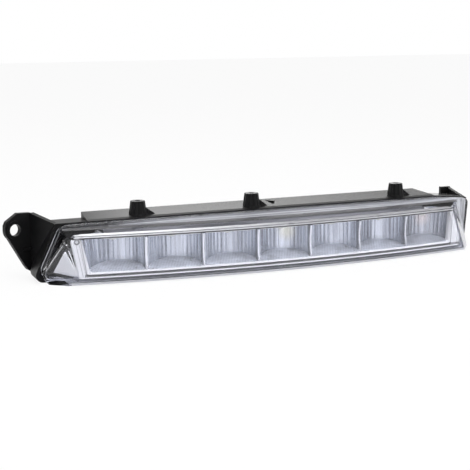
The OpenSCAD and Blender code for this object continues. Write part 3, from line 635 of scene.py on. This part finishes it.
# %% Pale plastic, the bezel and its wings
PANEL_LEAN, PANEL_MIDDLE, PANEL_GAP, PANEL_LINE = 180.6, 3.1, 0.8, 0.14
BEZEL_WALL, WING_IN = 0.001, 2.9
pale, shader, w = finish("pale_gloss_plastic", roughness=0.3)
cloud = grain(w, 60)
along, _, high = object_spot(w).parts()
seam = between(high, at_z(9.1), at_z(10.08)) * 0.97
furrow = between(high, at_z(-11.35), at_z(-9.95)) * (along > at_x(-113.5)) * 0.8
across_panel = (along - at_x(-120.6)) * 1000 + (high - at_z(10.5)) * PANEL_LEAN
lines = w.maths("ABSOLUTE", w.maths("ABSOLUTE", across_panel - PANEL_MIDDLE) - PANEL_GAP) < PANEL_LINE
lines = lines * between(high, at_z(-11.0), at_z(6.3)) * (along < at_x(-111)) * 0.55
crown = fade(w, along, at_x(-110), at_x(-30), 0.1, 0.24)
under_lens = fade(w, along, at_x(-90), at_x(10), 0.0, 0.7)
on_top = (high > at_z(10.0)) * largest(crown, (facing_up(w) > 0.7) * under_lens)
tone = blend_colour(w, cloud, (0.74, 0.74, 0.74), (0.86, 0.86, 0.85))
shade = largest(seam, furrow, on_top, lines)
link(blend_colour(w, shade, tone, (0.09, 0.09, 0.095)), shader, "Base Color")
link(0.22 + 0.15 * cloud, shader, "Roughness")
bump(w, grain(w, 900), 0.00001, shader, 0.4)


def solid_wall(made, thickness):
    """Gives an open sheet its wall; the wall grows away from the faces' outside."""
    wall = made.modifiers.new("wall", "SOLIDIFY")
    wall.thickness, wall.offset, wall.use_even_offset = thickness, -1.0, False


def facing(grids, towards):
    """Grids whose middle quad faces the given point; the columns of the others are turned round."""
    turned = []
    for grid, closed in grids:
        row, column = grid.shape[0] // 2, grid.shape[1] // 2
        a, b, c = grid[row - 1, column], grid[row - 1, column + 1], grid[row, column + 1]
        outward = np.cross(b - a, c - b)
        turned.append((grid if outward @ (np.asarray(towards, float) - a) > 0 else grid[:, ::-1], closed))
    return turned


def wing_sheet(corners, side_plane, side, d):
    """Four corners given by depth and height, laid on the end plane moved in by d."""
    q = np.array(corners, float)
    u, v = np.meshgrid(np.linspace(0, 1, 12), np.linspace(0, 1, 12), indexing="ij")
    yz = ((1 - u) * (1 - v))[..., None] * q[0] + (u * (1 - v))[..., None] * q[1]
    yz = yz + (u * v)[..., None] * q[2] + ((1 - u) * v)[..., None] * q[3]
    x = plane_x(yz[..., 0], yz[..., 1], *side_plane, d, side=side)
    return np.stack([x, yz[..., 0], yz[..., 1]], axis=-1)


frame_sheet = piece("bezel_frame", [(np.stack(ring), True)], pale, ["bezel"], weld=0.00001)
solid_wall(frame_sheet, BEZEL_WALL)
left_wing = wing_sheet([(-12.7, 2.3), (-15.7, -11.2), (-4.9, -9.6), (-12.3, 2.4)],
                       (LEFT_A, LEFT_B, LEFT_C), 1, WING_IN)
right_wing = wing_sheet([(-19.6, 9.0), (-19.4, -11.3), (-2.0, -11.3), (-3.0, 8.6)],
                        (RIGHT_A, RIGHT_B, RIGHT_C), -1, WING_IN)
for name, sheet in (("bezel_wing_left", left_wing), ("bezel_wing_right", right_wing)):
    solid_wall(piece(name, [(sheet, False)], pale), BEZEL_WALL)

# %% [markdown]
# One small screw with a deep round recess holds the bezel at its top left corner. It is a
# turned part: a profile carried round the axis, which stands square to the arched face.
# Its zinc looks dark here, so the two shades of the coat are low.

# %% Bezel screw
SCREW_X, SCREW_Z, SCREW_SEAT = -117.2, 8.1, 2.4
profile = np.array([(0, -7), (1.1, -6.8), (1.2, -6.4), (1.2, 0), (1.6, 0), (1.6, 0.25), (1.45, 0.42),
                    (1.05, 0.46), (0.85, 0.4), (0.8, -0.5), (0.5, -0.9), (0, -1.0)])
turn_by = np.linspace(0, 2 * math.pi, 33)[:-1]
lean = math.asin((SCREW_X - ARC_X) / ARC_R)
out_of = np.array([math.sin(lean), -math.cos(lean), 0])
across = np.array([math.cos(lean), math.sin(lean), 0])
seat = np.array([SCREW_X, arch(SCREW_X, SCREW_SEAT), SCREW_Z])
rings = seat + profile[:, None, 1:] * out_of + profile[:, None, :1] * (
    np.cos(turn_by)[None, :, None] * across + np.sin(turn_by)[None, :, None] * np.array([0, 0, 1]))
zinc, shader, w = finish("zinc_steel", metallic=1.0, roughness=0.3)
scratch = grain(w, 900, (1, 1, 0.1))
link(blend_colour(w, scratch, (0.14, 0.14, 0.145), (0.34, 0.34, 0.345)), shader, "Base Color")
link(0.25 + 0.2 * scratch, shader, "Roughness")
piece("bezel_screw_turned", [(rings, True)], zinc, ["bezel_screw"])

# %% [markdown]
# The reflector is one moulding with a bright coat of metal. Each cell is a half round
# niche: its back is cut into upright flat strips that spread the light sideways, with one
# broad strip in the middle, and its floor rises gently. The cells are turned a little, so
# the broad strip sits to the right of the middle.

# %% Sizes of a cell
PITCH, CELLS, DIVIDER = 32.0, 7, 1.2
CELL_DEPTH, CELL_TURN, FLOOR_TILT = 15.2, math.radians(10), math.tan(math.radians(11))
CELL_LOW, CELL_HIGH, CELL_FRONT = -9.0, 9.1, 4.1
BELLY_EDGE, BELLY = 0.16, 0.24
half = (PITCH - DIVIDER) / 2
strip_edges = np.radians([0, 9, 18, 27, 36, 46, 56, 66, 77, 89, 116, 126, 136, 147, 158, 169, 180])


def cell_wall_line(steps=6):
    """Plan of one cell's back: a half circle's points at the strip edges, and between them
    strips that bulge a little, with a fine groove beside each."""
    a = strip_edges
    edge = np.stack([-half * np.cos(a) + CELL_DEPTH * np.sin(a) * math.tan(CELL_TURN),
                     CELL_DEPTH * np.sin(a)], axis=1)
    t = np.r_[0, 0.05, 0.10, np.linspace(0.10, 0.90, steps)[1:-1], 0.90, 0.95][:, None]
    run = edge[1:] - edge[:-1]
    flat = edge[:-1, None] + run[:, None] * t
    normal = np.stack([-run[:, 1], run[:, 0]], axis=1)
    normal /= np.linalg.norm(normal, axis=1)[:, None]
    belly = np.where((t > 0.04) & (t < 0.96), BELLY_EDGE + BELLY * np.sin(np.pi * t), 0.0)
    return np.concatenate([(flat + normal[:, None] * belly).reshape(-1, 2), edge[-1:]])


line = cell_wall_line()
print("strips per cell", len(strip_edges) - 1, "points", len(line))

# %% [markdown]
# The wall of all cells is one grid: its columns run along the plan from the left end to
# the right end, round the front edge of every divider, and its rows go from the floor to
# the top. The floor is a second grid, ruled from the foot of the wall to the window.

# %% Reflector surfaces
NOSE_OUT, HOLLOW, HOLLOW_TO, LIP_DOWN = 0.45, 1.3, 3.0, 1.4
centres = (np.arange(CELLS) - (CELLS - 1) / 2) * PITCH
nose = np.linspace(-1, 1, 7)[1:-1]
columns, fronts = [], []
for i, c in enumerate(centres):
    xy = line + (c, arch(c, CELL_FRONT))
    xy[:, 1] = np.maximum(xy[:, 1], arch(xy[:, 0], CELL_FRONT))
    columns.append(xy)
    fronts.append(np.stack([xy[:, 0], arch(xy[:, 0], CELL_FRONT)], axis=1))
    if i < CELLS - 1:
        x = c + PITCH / 2 + nose * DIVIDER / 2
        edge = np.stack([x, arch(x, CELL_FRONT) - NOSE_OUT * np.sqrt(1 - nose ** 2)], axis=1)
        columns.append(edge)
        fronts.append(edge)
plan, front_line = np.concatenate(columns), np.concatenate(fronts)
behind_front = plan[:, 1] - front_line[:, 1]


def floor_height(y, front_y):
    """The floor rises by its tilt with the distance behind the front line."""
    return CELL_LOW + np.maximum(y - front_y, 0) * FLOOR_TILT


rows = np.linspace(0, 1, 15)[:, None]
foot = floor_height(plan[:, 1], front_line[:, 1])
z = foot[None] + (CELL_HIGH - foot[None]) * rows
hollow = np.where(np.abs(behind_front) < HOLLOW_TO, HOLLOW, 0.0) * np.sin(np.pi * rows)
hollow = hollow * np.clip(1 - behind_front / HOLLOW_TO, 0, 1)
wall = np.stack([plan[None, :, 0] + 0 * z, plan[None, :, 1] + hollow, z], axis=-1)
back_share = np.linspace(0, 1, 14)[:, None]
floor_y = front_line[None, :, 1] + behind_front[None] * back_share
floor_z = floor_height(floor_y, front_line[None, :, 1])
floor_grid = np.stack([plan[None, :, 0] + 0 * floor_y, floor_y, floor_z], axis=-1)
lip_z = np.full(len(front_line), CELL_LOW - LIP_DOWN)
lip = np.stack([front_line[:, 0], front_line[:, 1], lip_z], axis=-1)
skirt = np.stack([lip, floor_grid[0]])
print("reflector columns", len(plan))

# %% [markdown]
# The bright coat is metal, so its colour is the colour of what it mirrors, a little
# bluish. Upright streaks come from noise stretched along z, in a fine and a broad scale.
# The floor is mottled by the same noise and carries faint rows of lens dots, made from two
# sine waves. Light and shade are painted into the colour: a painted highlight on the front
# ridge of each divider, painted shade on the wall beside it, towards the walls' feet and
# over the last cell. The diodes' warm light is painted in as a faint tint high up in two
# cells.

# %% Bright coat of the reflector
DOT_ALONG, DOT_BACK, RIDGE_SHARE, RIDGE_DEPTH = 0.0017, 0.0034, 0.024, 5.3
TINTS = ((7.0, 4.0, (0.90, 0.84, 0.55)), (100.0, 4.5, (0.86, 0.70, 0.62)))
TINT_BACK, TINT_NEAR, TINT_FAR, TINT_MOST = 14, 0.002, 0.0065, 0.4
bright, shader, w = finish("bright_metal_coat", metallic=0.85, roughness=0.2)
spot = object_spot(w)
along, behind, high = spot.parts()
upright_streak = grain(w, 420, (1, 1, 0.05), detail=3, rough=0.55)
broad_streak = grain(w, 130, (1, 1, 0.12), detail=2, rough=0.5)
streak = fade(w, upright_streak * 0.5 + broad_streak * 0.5, 0.36, 0.64)
dots_along = w.maths("SINE", along * (2 * math.pi / DOT_ALONG))
dots = dots_along * w.maths("SINE", behind * (2 * math.pi / DOT_BACK))
on_floor = fade(w, facing_up(w), 0.6, 0.9)
wall_colour = blend_colour(w, streak, (0.355, 0.375, 0.42), (0.85, 0.885, 0.94))
floor_colour = blend_colour(w, dots * 0.22 + 0.22 + 0.56 * streak, (0.37, 0.385, 0.42), (0.78, 0.81, 0.86))

turn_of_cell = w.maths("FRACT", (along - at_x(PITCH / 2)) * (1000 / PITCH))
depth = behind_arch(w, spot)
# Painted highlight on each divider's front ridge, and painted shade on the wall beside it.
ridge = largest(turn_of_cell < RIDGE_SHARE, turn_of_cell > 1 - RIDGE_SHARE) * (depth < RIDGE_DEPTH)
beside = (turn_of_cell > 0.6) * between(depth, 5.5, 8.5) * 0.7
wall_colour = blend_colour(w, beside, wall_colour, (0.16, 0.165, 0.18))
wall_colour = blend_colour(w, ridge, wall_colour, (0.97, 0.97, 0.98))
# Painted shade towards the walls' feet.
foot_shade = fade(w, high, at_z(-7.5), at_z(-3.5), 0.45, 0.0)
wall_colour = blend_colour(w, foot_shade, wall_colour, (0.30, 0.31, 0.34))
coat_colour = blend_colour(w, on_floor, wall_colour, floor_colour)
# Painted shade over the last cell.
last_shade = fade(w, along, at_x(78), at_x(86), 0.0, 0.38)
coat_colour = blend_colour(w, last_shade, coat_colour, (0.20, 0.205, 0.22))
# The diodes' warm light, painted in as a faint tint high up in two cells.
for tint_x, tint_z, tint in TINTS:
    middle = tuple(placed([tint_x, arch(tint_x, CELL_FRONT) + TINT_BACK, tint_z]))
    far = vector_maths(w, "LENGTH", vector_maths(w, "SUBTRACT", spot, middle), out=1)
    coat_colour = blend_colour(w, fade(w, far, TINT_FAR, TINT_NEAR, 0.0, TINT_MOST), coat_colour, tint)
link(coat_colour, shader, "Base Color")
link(0.16 + 0.10 * streak + 0.25 * on_floor, shader, "Roughness")
link(0.9 - 0.55 * on_floor, shader, "Metallic")
height = w.node("Mix", {}, {0: on_floor, 2: streak, 3: dots * 0.5 + 0.5})
bump(w, height, 0.00006, shader, 0.6)


def sheared(grid):
    """Both ends lean out with height, by 3.2 and 1.5 mm at the top, fading 12 mm into the row."""
    x, share = grid[..., 0], (grid[..., 2] - CELL_LOW) / (CELL_HIGH - CELL_LOW)
    end = CELLS * PITCH / 2 - DIVIDER / 2
    left, right_ = np.clip(1 - (x + end) / 12, 0, 1), np.clip(1 - (end - x) / 12, 0, 1)
    moved = grid.copy()
    moved[..., 0] += np.clip(share, 0, 1) * (1.5 * right_ - 3.2 * left)
    return moved


REFLECTOR_WALL, VIEWED_FROM = 0.0006, (0, -300, 60)
sheets = facing([(sheared(grid), False) for grid in (wall, floor_grid, skirt)], VIEWED_FROM)
reflector = piece("reflector_cells", sheets, bright, ["reflector"],
                  smooth=16, weld=0.00001)
solid_wall(reflector, REFLECTOR_WALL)

# %% [markdown]
# Above the cells a pressed strip carries the diodes' heat away. Its ribs run along the
# arch and show through the sloping band of the lens as grey lines. It is a section carried
# along the arch: flat below, with round ribs above. Its anodised finish is dark and dull,
# with lighter lines drawn along it.

# %% Cooling strip
STRIP_FRONT, STRIP_BACK, STRIP_LOW, RIB_FOOT, RIB_HIGH, RIB_PITCH = 9.8, 23.0, 9.5, 9.95, 1.15, 2.2
s = np.linspace(STRIP_FRONT, STRIP_BACK, 80)
ribs = RIB_FOOT + RIB_HIGH * np.clip(np.sin((s - STRIP_FRONT) * 2 * math.pi / RIB_PITCH) * 1.6, 0, 1)
across = np.concatenate([np.stack([s, ribs], axis=1), [[STRIP_BACK, STRIP_LOW], [STRIP_FRONT, STRIP_LOW]]])
x = np.linspace(-101, 97, 160)
strip = np.stack([x[:, None] + 0 * across[None, :, 0], arch(x[:, None], 0) + across[None, :, 0],
                  across[None, :, 1] + 0 * x[:, None]], axis=-1)
caps = [np.stack([end, np.repeat(end.mean(axis=0)[None], len(end), axis=0)]) for end in (strip[0], strip[-1])]
sink_metal, shader, w = finish("rolled_aluminium", metallic=0.0, roughness=0.5, specular_ior_level=0.1)
drawn = fade(w, grain(w, 240, (0.05, 1, 1), detail=4, rough=0.7), 0.3, 0.7)
link(blend_colour(w, drawn, (0.03, 0.03, 0.032), (0.32, 0.32, 0.335)), shader, "Base Color")
link(0.25 + 0.25 * drawn, shader, "Roughness")
bump(w, drawn, 0.00004, shader, 0.5)
piece("cooling_strip", [(strip, True)] + [(c, True) for c in caps], sink_metal,
      ["heat_sink"], smooth=50)

# %% [markdown]
# Every other node keeps its solid. Each gets a finish for its record slot: two shades
# mixed by fine noise, a roughness that follows it, and a little bump. The sizes of the
# grain are those of the real thing: rolled steel, coated board, rubber, moulded chips.

# %% Finishes of the small pieces
FINISHES = {
    "black_rubber": ((0.012, 0.012, 0.012), (0.022, 0.022, 0.022), 600, 0.75, 0.0, (1, 1, 1)),
    "white_board": ((0.62, 0.62, 0.60), (0.70, 0.70, 0.68), 300, 0.5, 0.0, (1, 1, 1)),
    "green_board": ((0.02, 0.10, 0.05), (0.04, 0.16, 0.08), 260, 0.4, 0.0, (1, 1, 1)),
    "grey_pad": ((0.30, 0.31, 0.32), (0.40, 0.41, 0.42), 400, 0.8, 0.0, (1, 1, 1)),
    "screw_steel": ((0.45, 0.45, 0.46), (0.62, 0.62, 0.63), 500, 0.3, 1.0, (1, 1, 0.2)),
    "chip_black": ((0.02, 0.02, 0.02), (0.035, 0.035, 0.036), 900, 0.6, 0.0, (1, 1, 1)),
    "inductor_grey": ((0.09, 0.09, 0.10), (0.14, 0.14, 0.15), 700, 0.7, 0.0, (1, 1, 1)),
    "capacitor_can": ((0.45, 0.46, 0.47), (0.60, 0.61, 0.62), 500, 0.3, 1.0, (1, 0.1, 1)),
    "pin_brass": ((0.66, 0.55, 0.30), (0.78, 0.68, 0.42), 500, 0.3, 1.0, (1, 0.1, 1)),
    "orange_seal": ((0.42, 0.10, 0.03), (0.52, 0.14, 0.05), 400, 0.6, 0.0, (1, 1, 1)),
    "vent_plastic": ((0.014, 0.014, 0.015), (0.024, 0.024, 0.025), 900, 0.5, 0.0, (1, 1, 1)),
    "vent_fabric": ((0.62, 0.62, 0.60), (0.74, 0.74, 0.72), 1500, 0.9, 0.0, (1, 1, 1)),
    "diode_resin": ((0.72, 0.71, 0.64), (0.82, 0.81, 0.74), 500, 0.25, 0.0, (1, 1, 1)),
}
slots = {s["node"]: s["material_slot"] for s in frame["record"]["subparts"]}
made_finishes = {}
for slot_name, (dark, light, scale, rough, metal, stretch) in FINISHES.items():
    material, shader, w = finish(slot_name + "_finish", metallic=metal, roughness=rough)
    speck = grain(w, scale, stretch)
    link(blend_colour(w, speck, dark, light), shader, "Base Color")
    link(speck * 0.2 + (rough - 0.1), shader, "Roughness")
    bump(w, speck, 0.00002, shader, 0.4)
    made_finishes[slot_name] = material
for node_name, node_object in frame["nodes"].items():
    if slots[node_name] in made_finishes:
        dress(node_object, made_finishes[slots[node_name]])
print("finishes", len(made_finishes))

# %% [markdown]
# The floor and the room are plain white, and large soft lamps light the lamp from above
# and from the front. The camera sees a pure white world. Mirror and glass rays see a
# backdrop that darkens with height, and mirror rays a bright ceiling over it as well. All
# other rays find a little less light, so black plastic stays black.

# %% Floor, world and lamps
FLOOR_HALF, UNDER = 4, 0.0003
ground = cad_box[0][2] - UNDER
corners = [(-FLOOR_HALF, -FLOOR_HALF, ground), (FLOOR_HALF, -FLOOR_HALF, ground),
           (FLOOR_HALF, FLOOR_HALF, ground), (-FLOOR_HALF, FLOOR_HALF, ground)]
floor_mesh = bpy.data.meshes.new("floor")
floor_mesh.from_pydata(corners, [], [(0, 1, 2, 3)])
floor = bpy.data.objects.new("floor", floor_mesh)
bpy.context.scene.collection.objects.link(floor)
paper, shader, w = finish("white_paper", base_color=(0.95, 0.95, 0.95), roughness=0.9)
floor_mesh.materials.append(paper)
glow = w.node("Emission", {}, {"Color": (1, 1, 1, 1), "Strength": 1.0})
show(w, shader, glow, share=w.node("LightPath", out=0) * 0.85)

world = bpy.data.worlds.new("room")
bpy.context.scene.world = world
world.use_nodes = True
w = Wire(world.node_tree)
seen, mirror, glass = (w.node("LightPath", out=k) for k in (0, 3, 6))
rise = w.node("TexCoord", out=0).parts()[2]
backdrop = fade(w, rise, 0.22, 0.40, 1.0, 0.12)
ceiling = fade(w, rise, 0.55, 0.59, 0.0, 3.6)
ambient = w.node("Mix", {}, {0: largest(mirror, glass), 2: 0.6, 3: backdrop + ceiling * mirror})
sky = world.node_tree.nodes["Background"]
sky.inputs["Color"].default_value = (1, 1, 1, 1)
link(largest(seen, ambient), sky, "Strength")


def soft_lamp(name, place, aim, size, power):
    """A square area lamp at place, turned towards aim."""
    data = bpy.data.lights.new(name, "AREA")
    data.size, data.energy = size, power
    lamp = bpy.data.objects.new(name, data)
    lamp.location = place
    lamp.rotation_euler = (Vector(aim) - lamp.location).to_track_quat("-Z", "Y").to_euler()
    bpy.context.scene.collection.objects.link(lamp)


soft_lamp("lamp_above", (0.1, -0.2, 0.9), (0.14, 0, 0), 0.8, 4)
soft_lamp("lamp_front", (0.5, -1.1, 0.5), (0.14, 0, 0), 0.6, 3)
print("floor at", round(ground, 4), "m, lamps", len(bpy.data.lights))

# %% [markdown]
# At the end the size of the CAD model is printed.

# %% Size of the CAD model
print("CAD size in mm", [round((high_side - low_side) * 1000, 1) for low_side, high_side in zip(*cad_box)])
